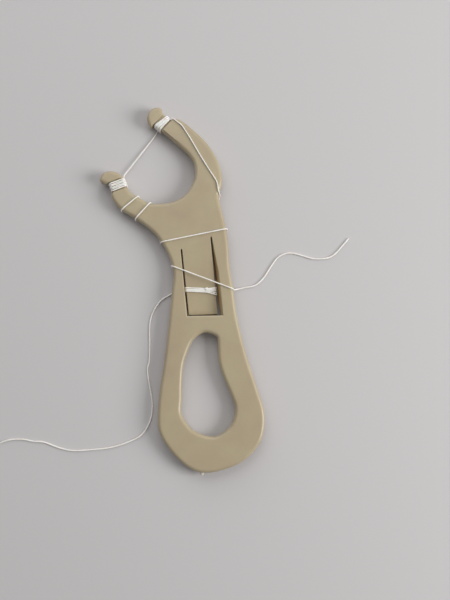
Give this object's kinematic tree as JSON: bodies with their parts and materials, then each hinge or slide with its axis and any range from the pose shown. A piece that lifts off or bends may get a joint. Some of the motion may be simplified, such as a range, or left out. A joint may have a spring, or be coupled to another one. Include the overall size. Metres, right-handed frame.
{
  "type": "floss holder",
  "caption": "Hand-held floss holder: flat moulded plate with a forked head, spring tongue and finger ring, strung with loose floss.",
  "frame": {"origin": "on the surface that the holder lies on, under the middle of the holder's box without the floss's free ends", "axes": "+Y along the handle from the finger ring to the fork, +X to the right seen from the front face, +Z out of the front face"},
  "size_m": [0.1396, 0.1182, 0.005],
  "materials": {
    "plastic": "injection-moulded polypropylene, tan, finely matte",
    "floss": "waxed nylon multifilament, white"
  },
  "bodies": {
    "holder": {"holder_body": "plastic", "back_run": "floss", "arm_run": "floss", "upper_tip_winding": "floss", "span": "floss", "lower_tip_winding": "floss", "lower_arm_wraps": "floss", "neck_wrap": "floss", "waist_wrap": "floss", "left_tail": "floss", "right_tail": "floss"},
    "tongue": {"spring_tongue": "plastic", "tongue_winding": "floss"}
  },
  "joints": [
    {"name": "tongue_flex", "type": "hinge", "parent": "holder", "child": "tongue", "pos_m": [0.00623, 0.01337, 0.0039], "axis": [-0.9527, -0.304, 0], "range_deg": [-2.5, 6], "stiffness_Nm_per_rad": 0.05}
  ]
}
